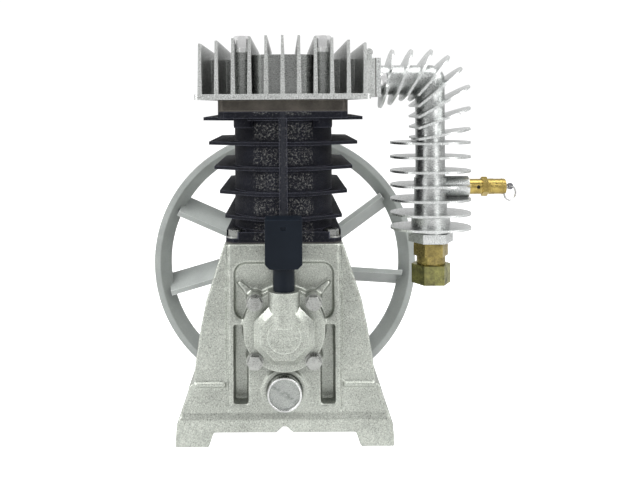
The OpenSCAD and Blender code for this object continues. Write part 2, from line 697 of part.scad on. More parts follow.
// --- Valve plate and its gaskets ---
module plate_outline() difference() {
    rounded(flange_w, plate_d, plate_corner);
    for (x = [-1, 1], y = [-head_bolt_y, 0, head_bolt_y]) translate([x*head_bolt_x, y])
        circle(m8_d/2);
}
module port_pair(side) for (c = [-pin_y, pin_y], y = [-1, 1])
    translate([side * port_places[0], c + y*port_places[1]/2]) children();
module lower_valve_gasket() color([0.16, 0.14, 0.12]) translate([0, 0, valve_gasket_z])
    linear_extrude(gasket_t) difference() {
        plate_outline();
        for (y = [-1, 1]) translate([0, y*pin_y]) circle(bore_r);
    }
module valve_plate() color([0.3, 0.26, 0.21]) translate([0, 0, valve_plate_z]) difference() {
    linear_extrude(valve_plate_t) difference() {
        plate_outline();
        port_pair(-1) circle(port_hole_r);
        port_pair(1) circle(port_hole_r);
    }
    translate([0, 0, -eps]) linear_extrude(reed_t) reed_outline(-1);
    translate([0, 0, valve_plate_t - reed_t]) linear_extrude(far) reed_outline(1);
}
module reed_outline(side) for (c = [-pin_y, pin_y]) translate([side * port_places[0], c])
    square([reed_w, port_places[1] + 12], center = true);
module inlet_reeds() color([0.55, 0.57, 0.6]) translate([0, 0, valve_plate_z])
    linear_extrude(reed_t - eps) reed_outline(-1);
module outlet_reeds() color([0.55, 0.57, 0.6])
    translate([0, 0, valve_plate_z + valve_plate_t - reed_t]) linear_extrude(reed_t)
        reed_outline(1);
module chamber_openings() for (x = [-1, 1]) translate([x * chamber_place, 0])
    square([chamber_in_w, chamber_d - 2*chamber_end_t], center = true);
module head_gasket() color([0.12, 0.11, 0.1]) translate([0, 0, head_gasket_z])
    linear_extrude(gasket_t) difference() {
        plate_outline();
        chamber_openings();
    }

// --- Cylinder head ---
module fin_profile(top) polygon([[-head_fin_root/2, 0], [head_fin_root/2, 0],
    [head_fin_tip/2, top], [-head_fin_tip/2, top]]);
function head_fin_x(i) = (i - (head_fin_count - 1)/2) * head_fin_pitch;
function head_fin_top(x) = head_h - head_crown * pow(abs(x) / (head_w/2), 2);
module cylinder_head() color([0.77, 0.78, 0.77]) difference() {
    union() {
        translate([0, 0, head_z]) linear_extrude(head_plate_t) rounded(head_w, head_d, head_corner);
        for (i = [0:head_fin_count - 1]) translate([head_fin_x(i), 0, head_z])
            upright([-head_d/2 + 3, head_d/2 - 3]) fin_profile(head_fin_top(head_fin_x(i)));
        translate([0, 0, head_z]) linear_extrude(chamber_top - head_z)
            rounded(chamber_w, chamber_d, 10);
        slab([-ear_x, ear_x], [-passage_d/2, passage_d/2], [head_z, chamber_top]);
        slab([ear_x - 1, block_end_x], [-ear_d/2, ear_d/2], ear_z);
        slab([ear_x + 10, ear_x + 13.4], [-13, 13], [ear_z[1] - 1, ear_z[1] + 6]);
        bar_y([-13, 13], 3.4, x = ear_x + 11, z = ear_z[1] + 6);
        bar_x([port_x, port_x + 5], port_r + 5, z = passage_z);
        head_bolt_places() bar_z([head_z, boss_top], boss_r);
    }
    // Inlet and outlet chambers, open below, and the passages from them to the ports
    difference() {
        union() {
            translate([0, 0, head_z - 1]) linear_extrude(chamber_top - head_z + 1 - chamber_wall)
                chamber_openings();
            both_sides() slab(passage_x, [chamber_wall - passage_d/2, passage_d/2 - chamber_wall],
                [head_z + head_plate_t + 2, chamber_top - chamber_wall]);
        }
        both_sides() bar_z([head_z, far], boss_r, x = head_bolt_x);
    }
    bar_x([passage_x[1] - 7, far], pipe_bore/2, z = passage_z);
    bar_x([-far, 7 - passage_x[1]], port_r, z = passage_z);
    head_bolt_places() {
        bar_z([head_z - 1, far], m8_d/2);
        bar_z([boss_top, far], m8_flange_d/2 + 0.4);
    }
    for (y = [-1, 1]) bar_x([block_end_x - 14, far], m6_d/2, y = y*flange_bolt_y, z = passage_z);
}
module head_bolts() color([0.85, 0.85, 0.86]) head_bolt_places() translate([0, 0, boss_top])
    hex_screw(m8_d, m8_head, m8_head_t, m8_flange_d, m8_flange_t, boss_top - block_top + head_thread - 0.5);

// --- Delivery elbow ---
module ear_slice(x0, t) translate([x0, 0, 0]) difference() {
    slab([0, t], [-ear_d/2, ear_d/2], ear_z);
    bar_x([-1, t + 1], pipe_bore/2, z = passage_z);
    for (y = [-1, 1]) bar_x([-1, t + 1], m6_d/2, y = y*flange_bolt_y, z = passage_z);
}
module exhaust_gasket() color([0.3, 0.28, 0.26]) ear_slice(block_end_x, gasket_t);
module pipe_path(r, low, start) {
    bar_x([start, drop_x], r, z = passage_z);
    translate([drop_x, 0, passage_z]) sphere(r);
    bar_z([low, passage_z], r, x = drop_x);
}
function fan_slope(i) = fan_first * (1 - i/fan_fins);
function fan_x(i) = min(fan_start_x + i*fan_step, fan_in_x);
function fan_z(i) = fan_in_z - max(0, fan_start_x + i*fan_step - fan_in_x);
// Reach of a ray from (x, z) at slope a, to the box of the tips with its rounded corner
function box_reach(x, z, a) = min((fan_out_z - z)/sin(a), (fan_out_x - x)/cos(a));
function corner_reach(x, z, a) = let (cx = fan_out_x - fan_corner_r, cz = fan_out_z - fan_corner_r,
    b = (x - cx)*cos(a) + (z - cz)*sin(a),
    c = pow(x - cx, 2) + pow(z - cz, 2) - pow(fan_corner_r, 2)) -b + sqrt(b*b - c);
function fan_reach(x, z, a) = let (t = box_reach(x, z, a))
    x + t*cos(a) > fan_out_x - fan_corner_r && z + t*sin(a) > fan_out_z - fan_corner_r
        ? corner_reach(x, z, a) : t;
module fan_fin(i) {
    r = elbow_fin_d/2;
    reach = fan_reach(fan_x(i), fan_z(i), fan_slope(i));
    translate([fan_x(i), 0, fan_z(i)]) rotate([0, -fan_slope(i), 0])
        translate([0, 0, -elbow_fin_t/2]) linear_extrude(elbow_fin_t) {
            translate([reach - r, 0]) circle(r);
            translate([0, -r]) square([reach - r, 2*r]);
        }
}
module straight_fin(z) translate([drop_x, 0, z]) linear_extrude(elbow_fin_t) {
    r = elbow_fin_d/2;
    for (x = [-1, 1]) translate([x * (elbow_fin_w/2 - r), 0]) circle(r);
    square([elbow_fin_w - 2*r, 2*r], center = true);
}
module exhaust_elbow() color([0.66, 0.68, 0.68]) difference() {
    union() {
        ear_slice(flange_x, flange_t);
        pipe_path(pipe_d/2, straight_top - 30, flange_x);
        bar_z([pipe_low, straight_top - 30 + eps], pipe_d/2 + 1.4, x = drop_x);
        bar_z([pipe_low + 2, pipe_low + 15], collar_r, x = drop_x);
        translate([drop_x, 0, elbow_foot]) cylinder(r = elbow_hex * hex_r, h = 8, $fn = 6);
        for (i = [0:fan_fins - 1]) fan_fin(i);
        for (i = [0:straight_fins - 1]) straight_fin(straight_top - i*straight_step);
        bar_x([drop_x, valve_boss_x], valve_boss_r, z = valve_z);
    }
    pipe_path(pipe_bore/2, elbow_foot + 12, flange_x - 1);
    bar_z([elbow_foot - 1, elbow_foot + 12 + eps], thread_r, x = drop_x);
    bar_x([drop_x, far], valve_bore_r + 1, z = valve_z);
    bar_x([valve_boss_x, far], valve_r + 0.6, z = valve_z);
    for (y = [-1, 1]) bar_x([flange_x + flange_t, flange_x + 18], 8, y = y*(flange_bolt_y + 1),
        z = passage_z);
}
module exhaust_bolts() color([0.8, 0.8, 0.8]) for (y = [-1, 1])
    translate([flange_x + flange_t, y*flange_bolt_y, passage_z]) rotate([0, 90, 0])
        m6_screw(flange_t + gasket_t + 13);

// --- Outlet fitting ---
module outlet_adapter() color([0.72, 0.58, 0.25]) translate([drop_x, 0, 0]) difference() {
    union() {
        translate([0, 0, adapter_hex_z[0]])
            cylinder(r = adapter_hex * hex_r, h = adapter_hex_z[1] - adapter_hex_z[0], $fn = 6);
        bar_z([adapter_hex_z[1] - 1, elbow_foot + 11], thread_r);
        bar_z([nut_z[1], adapter_hex_z[0] + 1], adapter_neck_r);
        bar_z([adapter_low, nut_z[1]], thread_r + 1);
    }
    bar_z([0, far], 7.5);
    bar_z([0, adapter_low + 8], outlet_d/2 + run_gap);
}
module outlet_ferrule() color([0.75, 0.62, 0.3]) translate([drop_x, 0, nut_z[0] + nut_lip])
    difference() {
        cylinder(r = thread_r + 0.9, h = adapter_low - nut_z[0] - nut_lip);
        translate([0, 0, -1]) cylinder(d = outlet_d + 0.1, h = far);
    }
module outlet_nut() color([0.7, 0.56, 0.25]) translate([drop_x, 0, 0]) difference() {
    translate([0, 0, nut_z[0]]) cylinder(r = nut_af * hex_r, h = nut_z[1] - nut_z[0], $fn = 6);
    bar_z([0, far], outlet_d/2);
    bar_z([nut_z[0] + nut_lip, far], thread_r + 1);
}

// --- Safety valve ---
module safety_valve_body() color([0.75, 0.6, 0.2]) difference() {
    union() {
        bar_x([valve_body_x[0] - 9, valve_body_x[0] + 1], valve_bore_r + 1, z = valve_z);
        bar_x(valve_body_x, valve_r, z = valve_z);
        translate([valve_body_x[1] - 5, 0, valve_z]) rotate([0, 90, 0])
            cylinder(r = valve_hex * hex_r, h = 5, $fn = 6);
    }
    bar_x([valve_body_x[0] + 4, far], valve_bore_r, z = valve_z);
    bar_x([0, far], 2, z = valve_z);
    for (a = [0, 90]) translate([valve_body_x[0] + 8, 0, valve_z]) rotate([a, 0, 0])
        cylinder(r = 1.6, h = far, center = true);
}
module safety_valve_cap() color([0.77, 0.62, 0.22]) difference() {
    union() {
        bar_x([valve_cap_x[0] - 4, valve_cap_x[0] + 1], valve_bore_r, z = valve_z);
        bar_x(valve_cap_x, valve_r, z = valve_z);
    }
    bar_x([0, valve_cap_x[1] - 3], valve_bore_r - 1.2, z = valve_z);
    bar_x([0, far], stem_r + run_gap, z = valve_z);
}
module safety_valve_spring() color([0.6, 0.6, 0.62]) difference() {
    union() for (i = [0:spring_turns - 1])
        bar_x([spring_start + i*spring_pitch, spring_start + i*spring_pitch + spring_wire], spring_r,
            z = valve_z);
    bar_x([0, far], stem_r, z = valve_z);
}
module safety_valve_stem() color([0.55, 0.55, 0.55]) {
    bar_x([valve_body_x[0] + 4, valve_body_x[0] + 7], valve_bore_r - run_gap, z = valve_z);
    difference() {
        union() {
            bar_x([valve_body_x[0] + 5, eye_x - 1], stem_r, z = valve_z);
            translate([eye_x, 0, valve_z]) rotate([90, 0, ring_turn])
                cylinder(r = 2.9, h = 2, center = true);
        }
        translate([eye_x, 0, valve_z]) rotate([90, 0, ring_turn])
            cylinder(r = ring_wire_r + 0.5, h = 6, center = true);
    }
}
module pull_ring() color([0.75, 0.75, 0.75]) translate([eye_x, 0, valve_z])
    rotate([0, 0, ring_turn]) translate([0, 0, -ring_r]) rotate([0, 90, 0])
        rotate_extrude() translate([ring_r, 0]) circle(ring_wire_r, $fn = 24);

// --- Breather ---
module breather_body() color([0.06, 0.06, 0.07]) difference() {
    translate([0, breather_y, 0]) {
        slab([-breather_w/2, breather_w/2], [-breather_d/2, breather_d/2],
            [breather_z[0] + breather_bevel, breather_z[1]]);
        upright([-breather_d/2, breather_d/2]) polygon([
            [-breather_w/2, breather_z[0] + breather_bevel], [breather_w/2, breather_z[0] + breather_bevel],
            [breather_w/2 - breather_bevel, breather_z[0]], [breather_bevel - breather_w/2, breather_z[0]]]);
    }
    bar_z([0, breather_z[0] + 8], breather_tube_r, y = breather_y);
    bar_z([0, breather_z[1] - 6], breather_tube_r - 2, y = breather_y);
    slab([-2, 2], [breather_y - breather_d/2 - 1, breather_y - breather_d/2 + 1.2],
        [breather_z[1] - 8, breather_z[1] - 5]);
}
module breather_tube() color([0.07, 0.07, 0.08]) difference() {
    bar_z([axis_h + 15, breather_z[0] + 8], breather_tube_r, y = breather_y);
    bar_z([0, far], breather_tube_r - 2, y = breather_y);
}

// --- Crankshaft, built up from webs and journals ---
module crankshaft() color([0.5, 0.5, 0.52]) difference() {
    union() {
        bar_y([-web_out - end_web_t, -web_out], web_d/2, z = axis_h);
        bar_y([front_bearing_y, -web_out], front_race[0]/2, z = axis_h);
        both_ends() bar_y([-web_in, mid_web_t - web_in], web_d/2, z = axis_h);
        bar_y([-web_in, web_in], mid_journal_r, z = axis_h);
        bar_y([web_out, web_out + end_web_t], web_d/2, z = axis_h);
        bar_y([web_out, rear_bearing_y + rear_race[2]], rear_race[0]/2, z = axis_h);
        bar_y([web_out, hub_y[0]], shaft_d/2 + 1, z = axis_h);
        bar_y([web_out, hub_y[1]], shaft_d/2, z = axis_h);
    }
    slab([-key_w/2, key_w/2], key_y, [axis_h + shaft_d/2 - key_h/2, axis_h + shaft_d]);
    bar_y([hub_y[1] - 24, far], m8_d/2, z = axis_h);
}

// --- Flywheel ---
module rim_profile() {
    r = wheel_r;
    mid = rim_w/2;
    polygon([[r - rim_lip, 0], [r, 0], [r, mid - groove_w/2], [r - groove_depth, mid - 3.5],
        [r - groove_depth, mid + 3.5], [r, mid + groove_w/2], [r, rim_w], [r - rim_lip, rim_w],
        [r - rim_lip - 1.5, rim_w - 0.6], [r - rim_t, mid + 1.5], [r - rim_t, mid - 1.5],
        [r - rim_lip - 1.5, 0.6]]);
}
module blade() {
    y0 = wheel_y + 1;
    y1 = wheel_y + rim_w - 1;
    translate([hub_r - 3, 0, 0]) rotate([90, 0, 90]) linear_extrude(wheel_r - rim_t - hub_r + 6)
        polygon([[y0, 0], [y0, -blade_t], [y1, -blade_t - blade_sweep], [y1, -blade_sweep]]);
}
module flywheel() color([0.7, 0.72, 0.72]) difference() {
    union() {
        translate([0, wheel_y, axis_h]) rotate([-90, 0, 0]) rotate_extrude($fn = 128) rim_profile();
        for (i = [0:blade_count - 1]) rotate_about_axis(blade_first + i * 360/blade_count) blade();
        bar_y(hub_y, hub_r, z = axis_h);
    }
    bar_y([0, far], shaft_d/2, z = axis_h);
    slab([-key_w/2, key_w/2], [0, far], [axis_h, axis_h + shaft_d/2 + key_h/2]);
}
module flywheel_key() color([0.5, 0.5, 0.52]) slab([-key_w/2, key_w/2], key_y,
    [axis_h + shaft_d/2 - key_h/2, axis_h + shaft_d/2 + key_h/2]);
module flywheel_bolt() color([0.7, 0.7, 0.7]) translate([0, hub_y[1], axis_h])
    rotate([-90, 0, 0]) hex_screw(m8_d, m8_head, 5.5, 36, 2.5, 22);

// --- Pistons and rods; y is the cylinder's place and pin_z the height of its crank pin ---
module piston(y, pin_z) {
    top = pin_z + rod_len + crown_h;
    pin = pin_z + rod_len;
    difference() {
        union() {
            difference() {
                bar_z([top - piston_h, top], piston_r, y = y);
                bar_z([0, top - piston_crown_t], piston_r - skirt_t, y = y);
            }
            intersection() {
                bar_z([top - piston_h + 6, top - 6], piston_r - 1, y = y);
                bar_y([y - far/2, y + far/2], small_end_r + 1, z = pin);
            }
        }
        slab([-far/2, far/2], [y - small_end_w/2 - 1, y + small_end_w/2 + 1],
            [0, top - piston_crown_t]);
        bar_y([y - far/2, y + far/2], wrist_pin_d/2, z = pin);
        for (h = ring_zs) difference() {
            bar_z([top - h - ring_h - 0.1, top - h + 0.1], bore_r + 1, y = y);
            bar_z([0, far], piston_r - ring_depth, y = y);
        }
    }
    difference() {
        bar_z([top - piston_h, top - 6], piston_r - 0.5, y = y);
        bar_z([0, far], piston_r - skirt_t, y = y);
        bar_z([top - skirt_top, far], bore_r, y = y);
        bar_y([y - far/2, y + far/2], wrist_pin_d/2, z = pin);
    }
}
module piston_rings(y, pin_z) {
    top = pin_z + rod_len + crown_h;
    for (h = ring_zs) difference() {
        bar_z([top - h - ring_h, top - h], bore_r - ring_gap, y = y);
        bar_z([0, far], piston_r - ring_depth + 0.1, y = y);
        slab([0, far], [y - 0.2, y + 0.2], [0, far]);
    }
}
module wrist_pin(y, pin_z) difference() {
    bar_y([y - piston_r + wrist_pin_end, y + piston_r - wrist_pin_end], wrist_pin_d/2,
        z = pin_z + rod_len);
    bar_y([y - far/2, y + far/2], wrist_pin_d/4, z = pin_z + rod_len);
}
module shank_outline(w, low, top)
    polygon([[-w[0]/2, low], [w[0]/2, low], [w[1]/2, top], [-w[1]/2, top]]);
module rod(y, pin_z) {
    small_z = pin_z + rod_len;
    difference() {
        union() {
            bar_y([y - big_end_w/2, y + big_end_w/2], big_end_r, z = pin_z);
            bar_y([y - small_end_w/2, y + small_end_w/2], small_end_r, z = small_z);
            upright([y - shank_t/2, y + shank_t/2]) shank_outline(shank_w, pin_z, small_z);
            bar_z([pin_z - big_end_r - dipper_len, pin_z - big_end_r + 2], dipper_r, y = y);
        }
        both_ends_at(y) upright([y + shank_t/2 - shank_pocket_depth, y + shank_t/2 + 1])
            shank_outline(shank_pocket, pin_z + big_end_r + 3, small_z - small_end_r - 3);
        bar_y([y - far/2, y + far/2], crank_pin_d/2 + bush_t, z = pin_z);
        bar_y([y - far/2, y + far/2], wrist_pin_d/2 + run_gap, z = small_z);
    }
}
module both_ends_at(y) {
    children();
    translate([0, 2*y, 0]) mirror([0, 1, 0]) children();
}
module big_end_bush(y, pin_z) difference() {
    bar_y([y - big_end_w/2, y + big_end_w/2], crank_pin_d/2 + bush_t, z = pin_z);
    bar_y([y - far/2, y + far/2], crank_pin_d/2, z = pin_z);
}
module crank_pin(y, pin_z)
    bar_y([y - bay/2 + pin_end_gap, y + bay/2 - pin_end_gap], crank_pin_d/2, z = pin_z);
module front_piston() color([0.75, 0.75, 0.76]) piston(-pin_y, tdc_pin_z);
module front_piston_rings() color([0.35, 0.35, 0.37]) piston_rings(-pin_y, tdc_pin_z);
module front_wrist_pin() color([0.6, 0.6, 0.62]) wrist_pin(-pin_y, tdc_pin_z);
module front_rod() color([0.68, 0.69, 0.7]) rod(-pin_y, tdc_pin_z);
module front_big_end_bush() color([0.7, 0.55, 0.3]) big_end_bush(-pin_y, tdc_pin_z);
module front_crank_pin() color([0.55, 0.55, 0.57]) crank_pin(-pin_y, tdc_pin_z);
module rear_piston() color([0.75, 0.75, 0.76]) piston(pin_y, bdc_pin_z);
module rear_piston_rings() color([0.35, 0.35, 0.37]) piston_rings(pin_y, bdc_pin_z);
module rear_wrist_pin() color([0.6, 0.6, 0.62]) wrist_pin(pin_y, bdc_pin_z);
module rear_rod() color([0.68, 0.69, 0.7]) rod(pin_y, bdc_pin_z);
module rear_big_end_bush() color([0.7, 0.55, 0.3]) big_end_bush(pin_y, bdc_pin_z);
module rear_crank_pin() color([0.55, 0.55, 0.57]) crank_pin(pin_y, bdc_pin_z);

crankcase();
sump_gasket();
sump_cover();
sump_bolts();
front_cover_gasket();
front_bearing_cover();
front_cover_bolts();
front_bearing_outer();
rear_bearing_housing();
rear_housing_bolts();
rear_bearing_outer();
shaft_oil_seal();
sight_glass_bezel();
sight_glass_reflector();
sight_glass_lens();
oil_drain_plug();
base_gasket();
cylinder_block();
block_bolts();
lower_valve_gasket();
valve_plate();
inlet_reeds();
outlet_reeds();
head_gasket();
cylinder_head();
head_bolts();
exhaust_gasket();
exhaust_elbow();
exhaust_bolts();
outlet_adapter();
outlet_ferrule();
outlet_nut();
safety_valve_body();
safety_valve_cap();
safety_valve_spring();
safety_valve_stem();
pull_ring();
breather_body();
breather_tube();
crankshaft();
front_bearing_inner();
front_bearing_balls();
rear_bearing_inner();
rear_bearing_balls();
flywheel();
flywheel_key();
flywheel_bolt();
front_piston();
front_piston_rings();
front_wrist_pin();
front_rod();
front_big_end_bush();
front_crank_pin();
rear_piston();
rear_piston_rings();
rear_wrist_pin();
rear_rod();
rear_big_end_bush();
rear_crank_pin();
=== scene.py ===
import json
import math
import bpy
import bmesh
from mathutils import Matrix, Vector


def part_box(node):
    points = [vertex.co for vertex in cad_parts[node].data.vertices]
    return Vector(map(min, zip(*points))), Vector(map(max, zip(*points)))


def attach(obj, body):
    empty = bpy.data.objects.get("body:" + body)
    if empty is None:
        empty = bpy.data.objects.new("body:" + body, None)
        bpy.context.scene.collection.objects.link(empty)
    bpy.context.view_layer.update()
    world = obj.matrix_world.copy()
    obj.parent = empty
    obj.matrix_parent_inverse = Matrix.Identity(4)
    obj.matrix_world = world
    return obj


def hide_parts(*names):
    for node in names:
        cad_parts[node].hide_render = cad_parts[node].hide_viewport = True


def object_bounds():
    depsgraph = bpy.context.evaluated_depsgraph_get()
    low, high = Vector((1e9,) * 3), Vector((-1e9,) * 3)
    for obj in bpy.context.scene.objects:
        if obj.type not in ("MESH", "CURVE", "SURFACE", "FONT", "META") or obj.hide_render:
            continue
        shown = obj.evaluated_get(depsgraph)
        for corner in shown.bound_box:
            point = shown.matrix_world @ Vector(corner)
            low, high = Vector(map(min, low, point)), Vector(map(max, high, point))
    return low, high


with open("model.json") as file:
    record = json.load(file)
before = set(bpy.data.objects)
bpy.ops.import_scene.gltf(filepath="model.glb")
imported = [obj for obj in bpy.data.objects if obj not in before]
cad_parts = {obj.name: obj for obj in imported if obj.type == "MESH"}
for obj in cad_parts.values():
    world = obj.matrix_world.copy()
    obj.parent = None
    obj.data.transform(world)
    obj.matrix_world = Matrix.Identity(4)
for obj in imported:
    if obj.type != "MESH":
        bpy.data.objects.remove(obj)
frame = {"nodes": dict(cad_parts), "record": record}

# Everything is in metres, in the pump's own frame: the feet stand on z = 0, +y points back to
# the flywheel and +x to the delivery elbow.
MM = 0.001
CAD_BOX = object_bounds()
NODES = frame["nodes"]

FIN_GAP_SHADE = (63.2 * MM, 88 * MM)     # half width and depth of the head's fin gaps, darkened as painted shade
GLASS_Z = sum(corner[2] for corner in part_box("sight_glass_bezel")) / 2
SMEAR = (0.57, 0.82)            # across the smear on the sight glass's disc: shares of x and z
SMEAR_FADE = 3.03 * MM          # from the middle of the smear to its edge
BLOCK_RIB = 3.2 * MM            # half the width of the block's front rib
BARREL_FACE = 24 * MM           # half the width over which the barrels face forward
FIN_STEP = 19.6 * MM            # from one fin of the block to the next
FIN_ROOT = 0.17                 # from a fin's middle to the bare face, as a share of the step
TOP_FIN_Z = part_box("cylinder_block")[1].z - 5.6 * MM
MASK_FADE = 2 * MM              # the width over which a masked finish fades out

RING_TURN = math.radians(25)    # the pull ring hangs at this angle to x
RING_WIRE = 0.62 * MM
RING_TURNS = 1.9
SPRING_WIRE = 0.5 * MM
SPRING_TURNS = 8
CAP_RINGS = (0.30, 0.38, 0.46, 0.86)    # places along the safety valve's cap
CAP_RING_FOOT = 0.45 * MM       # half the width of a cap ring where it meets the cap
CAP_RING_TOP = 0.3 * MM         # half its width at the top
CAP_RING_SUNK = 0.3 * MM        # how deep its foot lies in the cap
CAP_RING_HEIGHT = 0.22 * MM     # how far it stands out of the cap


# --- Camera, floor and light ---------------------------------------------------------------

CAMERA_PLACE = (0.003, -0.656, 0.258)
CAMERA_ROLL = -0.4              # degrees
CAMERA_LENS = 42.6
CAMERA_SHIFT = (0.0414, -0.2215)
FLOOR_GAP = 0.004               # the floor lies this far below the flywheel
FLOOR_SIZE = 20
FLOOR_GLOW = 0.75               # what the floor shows the camera beyond its own light
SIDE_WALLS = 0.52               # how brightly the room lights the pump from the sides and front
BACK_WALL = 0.8                 # and from behind
BACK_WALL_FROM = 0.8            # the back wall is full from this share of the way to +y
BACKDROP = 1.05                 # what the camera sees of the room
# Each lamp's name, its place, what it is aimed at, its width and height, and its power in watts.
LAMPS = (
    ("left_softbox", (-0.85, -0.75, 0.55), (0, 0, 0.15), (0.45, 0.9), 5),
    ("right_softbox", (0.75, -0.85, 0.5), (0.05, 0, 0.15), (0.35, 0.9), 3.7),
    ("top_softbox", (0.0, -0.1, 1.2), (0, 0, 0.2), (1.0, 0.7), 7.5),
    ("upper_left_strip", (-0.9, -0.25, 0.9), (0, 0, 0.12), (0.3, 0.8), 7),
    ("upper_right_strip", (0.9, -0.25, 0.9), (0, 0, 0.12), (0.3, 0.8), 5.6),
)


def place_camera():
    camera = bpy.data.objects.new("camera", bpy.data.cameras.new("camera"))
    bpy.context.scene.collection.objects.link(camera)
    camera.data.lens = CAMERA_LENS
    camera.data.sensor_width = 36.0
    camera.data.shift_x, camera.data.shift_y = CAMERA_SHIFT
    camera.data.clip_start = 0.01
    camera.location = CAMERA_PLACE
    level = Matrix.Rotation(math.radians(90), 3, "X")
    camera.rotation_euler = (level @ Matrix.Rotation(math.radians(CAMERA_ROLL), 3, "Z")).to_euler()
    bpy.context.scene.camera = camera


def area_light(name, place, aim, size, power):
    light = bpy.data.lights.new(name, "AREA")
    light.shape = "RECTANGLE"
    light.size, light.size_y = size
    light.energy = power
    lamp = bpy.data.objects.new(name, light)
    bpy.context.scene.collection.objects.link(lamp)
    lamp.location = place
    lamp.rotation_euler = (Vector(aim) - Vector(place)).to_track_quat("-Z", "Y").to_euler()


# --- Shader arithmetic -----------------------------------------------------------------------

class Value:
    """A number or colour that varies over a surface; arithmetic on it adds Math nodes."""

    def __init__(self, finish, socket):
        self.finish = finish
        self.socket = socket

    def math(self, operation, *others):
        return self.finish.node("ShaderNodeMath", {"operation": operation}, *others)

    def __add__(self, other):
        return self.math("ADD", self, other)

    __radd__ = __add__

    def __sub__(self, other):
        return self.math("SUBTRACT", self, other)

    def __rsub__(self, other):
        return self.math("SUBTRACT", other, self)

    def __mul__(self, other):
        return self.math("MULTIPLY", self, other)

    __rmul__ = __mul__

    def held(self):
        return self.finish.node("ShaderNodeClamp", {}, self)


class Finish:
    """One material: a Principled surface, and the nodes that feed it."""

    def __init__(self, name, **constants):
        self.material = bpy.data.materials.new(name)
        self.material.use_nodes = True
        self.tree = self.material.node_tree
        self.surface = self.tree.nodes["Principled BSDF"]
        for socket, value in constants.items():
            self.surface.inputs[socket.replace("_", " ")].default_value = value

    def node(self, kind, settings=None, *inputs, out=0, **named):
        made = self.tree.nodes.new(kind)
        for key, value in (settings or {}).items():
            if key == "stops":
                ramp = made.color_ramp
                while len(ramp.elements) < len(value):
                    ramp.elements.new(1.0)
                for stop, (at, colour) in zip(ramp.elements, value):
                    stop.position = at
                    stop.color = (*colour, 1.0)
            else:
                setattr(made, key, value)
        for socket, value in list(enumerate(inputs)) + list(named.items()):
            self.feed(made.inputs[socket], value)
        return Value(self, made.outputs[out])

    def feed(self, socket, value):
        if isinstance(value, Value):
            self.tree.links.new(value.socket, socket)
        elif value is not None:
            socket.default_value = value

    def set(self, **sockets):
        for name, value in sockets.items():
            self.feed(self.surface.inputs[name.replace("_", " ")], value)
        return self

    def place(self):
        return self.node("ShaderNodeTexCoord", {}, out="Object")

    def stretched(self, scale):
        return self.node("ShaderNodeMapping", {}, self.place(), Scale=scale)

    def noise(self, scale, detail=3.0, roughness=0.55, place=None):
        return self.node("ShaderNodeTexNoise", {}, place or self.place(), Scale=scale,
                         Detail=detail, Roughness=roughness)

    def cells(self, scale):
        return self.node("ShaderNodeTexVoronoi", {}, self.place(), Scale=scale)

    def ramp(self, value, *stops):
        return self.node("ShaderNodeValToRGB", {"stops": stops}, value)

    def mix(self, share, first, second):
        made = self.tree.nodes.new("ShaderNodeMix")
        made.data_type = "RGBA"
        for index, value in ((0, share), (6, first), (7, second)):
            if isinstance(value, tuple) and len(value) == 3:
                value = (*value, 1.0)
            self.feed(made.inputs[index], value)
        return Value(self, made.outputs[2])

    def within(self, axis, half):
        """1 nearer than half to the middle of the pump along an axis, 0 farther out."""
        place = self.node("ShaderNodeSeparateXYZ", {}, self.place(), out=axis)
        return ((half - place.math("ABSOLUTE", place)) * (1 / MASK_FADE)).held()

    def edges(self, radius, gain=6.0):
        """1 along edges that stand out, 0 on flat faces."""
        rounded = self.node("ShaderNodeBevel", {"samples": 4}, Radius=radius)
        own = self.node("ShaderNodeNewGeometry", {}, out="Normal")
        facing = self.node("ShaderNodeVectorMath", {"operation": "DOT_PRODUCT"}, rounded, own,
                           out="Value")
        return ((1.0 - facing) * gain).held()

    def recesses(self, distance):
        """1 deep in corners and hollows, 0 on open faces."""
        open_share = self.node("ShaderNodeAmbientOcclusion", {"samples": 4}, out="AO",
                               Distance=distance)
        return 1.0 - open_share

    def bump(self, height, strength, distance):
        return self.node("ShaderNodeBump", {}, Height=height, Strength=strength,
                         Distance=distance)


# --- Finishes --------------------------------------------------------------------------------

def shade(colour, share):
    """A colour made darker or lighter."""
    return tuple(min(1.0, c * share) for c in colour)


def cast_alloy(name, colour, grain, speckle, roughness, metal, edge_highlight=1.35, recess_shade=0.45,
               between=None):
    """Silver casting: sandy skin with bright and dark grains, rubbed edges with painted highlights
    and painted shade in the hollows.

    between is the half-width and half-depth inside which the faces between fins are darkened
    as painted shade.
    """
    f = Finish(name)
    sand = f.noise(1100 * grain, 4.0, 0.75)
    fine = f.noise(2600 * grain, 2.0, 0.6)
    patch = f.noise(38, 3.0)
    tone = sand * 0.55 + fine * 0.3 + patch * 0.15
    skin = f.ramp(tone, (0.5 - speckle, shade(colour, 0.5)), (0.5, colour),
                  (0.5 + speckle, shade(colour, 1.6)))
    # Edges are lightened in the colour: partly rubbed wear, partly a painted highlight.
    edge = f.edges(0.0014) * (0.55 + sand * 0.6)
    # Painted shade: the hollows are darkened in the colour.
    hollow = (f.recesses(0.014) * 1.25).held()
    # Painted shade between the head's fins: faces inside the given half-width and half-depth are
    # darkened.
    if between:
        deep = f.within("X", between[0]) * f.within("Y", between[1])
        skin = f.mix(deep * 0.6, skin, shade(colour, 0.3))
    rubbed_and_highlit = f.mix(edge.held(), skin, shade(colour, edge_highlight))
    f.set(Base_Color=f.mix(hollow * recess_shade, rubbed_and_highlit, shade(colour, 0.22)), Metallic=metal,
          Roughness=(roughness + (sand - 0.5) * 0.4 - edge * 0.12).held(),
          Normal=f.bump(sand * 0.6 + fine * 0.4, 0.35, 0.0005))
    return f.material


